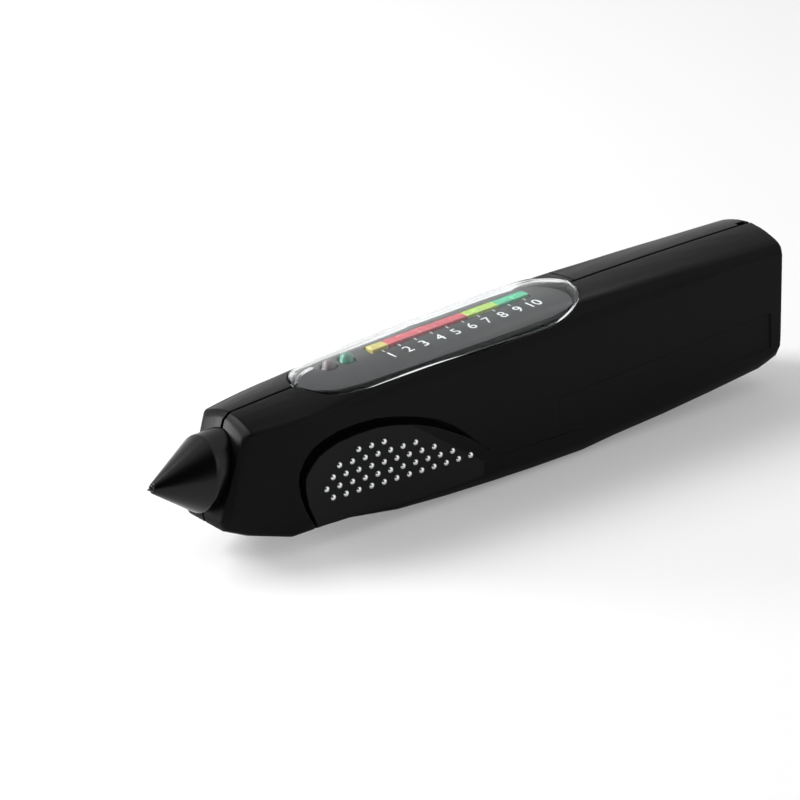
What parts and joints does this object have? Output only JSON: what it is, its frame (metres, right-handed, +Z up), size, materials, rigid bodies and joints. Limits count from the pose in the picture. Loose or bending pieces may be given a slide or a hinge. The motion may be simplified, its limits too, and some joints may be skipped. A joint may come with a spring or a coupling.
{
  "type": "gemstone tester",
  "caption": "Slim black handheld gemstone tester with a sprung needle in a nose cone, a light bar under a clear window, studded grips and a battery cover.",
  "frame": {"origin": "middle of the length and width, on the plane that the belly rests on", "axes": "+X along the body from the needle to the rear end, +Y towards the right side, +Z up towards the window"},
  "size_m": [0.175, 0.0246, 0.0385],
  "materials": {
    "housing_black": "satin black moulding",
    "window_clear": "clear polished moulding",
    "panel_grey": "matt grey",
    "stud_metal": "bright plated",
    "steel": "plain bright",
    "brass": "turned",
    "board_green": "solder mask",
    "dark_plastic": "matt black moulding",
    "cell_sleeve": "plain printed sleeve",
    "light_yellow": "tinted clear",
    "light_red": "tinted clear",
    "light_lime": "tinted clear",
    "light_green": "tinted clear",
    "light_pale": "pale clear"
  },
  "bodies": {
    "housing": {"left_shell": "housing_black", "right_shell": "housing_black", "left_contact_plate": "stud_metal", "right_contact_plate": "stud_metal", "nose_cone": "housing_black", "nose_ferrule": "steel", "probe_guide": "dark_plastic", "probe_spring": "steel", "guide_plug": "dark_plastic", "display_lens": "window_clear", "display_panel": "panel_grey", "light_segment_01": "light_yellow", "light_segment_02": "light_red", "light_segment_03": "light_red", "light_segment_04": "light_red", "light_segment_05": "light_red", "light_segment_06": "light_red", "light_segment_07": "light_lime", "light_segment_08": "light_lime", "light_segment_09": "light_green", "light_segment_10": "light_green", "ready_light": "light_green", "battery_light": "light_pale", "display_board": "board_green", "main_board": "board_green", "control_chip": "dark_plastic", "buzzer": "dark_plastic", "board_header": "dark_plastic", "left_contact_finger": "brass", "right_contact_finger": "brass", "switch_body": "steel", "shell_screw_1": "steel", "shell_screw_2": "steel", "shell_screw_3": "steel", "shell_screw_4": "steel", "battery_frame": "dark_plastic", "battery_cell_1": "cell_sleeve", "battery_cell_2": "cell_sleeve", "battery_cell_3": "cell_sleeve", "negative_contact": "steel", "front_cell_link": "steel", "rear_cell_link": "steel", "positive_contact": "steel"},
    "probe": {"probe_needle": "steel", "probe_barrel": "brass"},
    "cover": {"battery_cover": "housing_black"},
    "switch_knob": {"power_switch_knob": "dark_plastic"}
  },
  "joints": [
    {"name": "probe_retract", "type": "slide", "parent": "housing", "child": "probe", "axis": [1, 0, 0], "range_m": [0, 0.0012], "stiffness_N_per_m": 400, "springref_m": -0.0005, "deforming": ["probe_spring"]},
    {"name": "cover_lift", "type": "slide", "parent": "housing", "child": "cover", "axis": [0, 1, 0], "range_m": [0, 0.025]},
    {"name": "switch_slide", "type": "slide", "parent": "housing", "child": "switch_knob", "axis": [1, 0, 0], "range_m": [0, 0.004]}
  ]
}
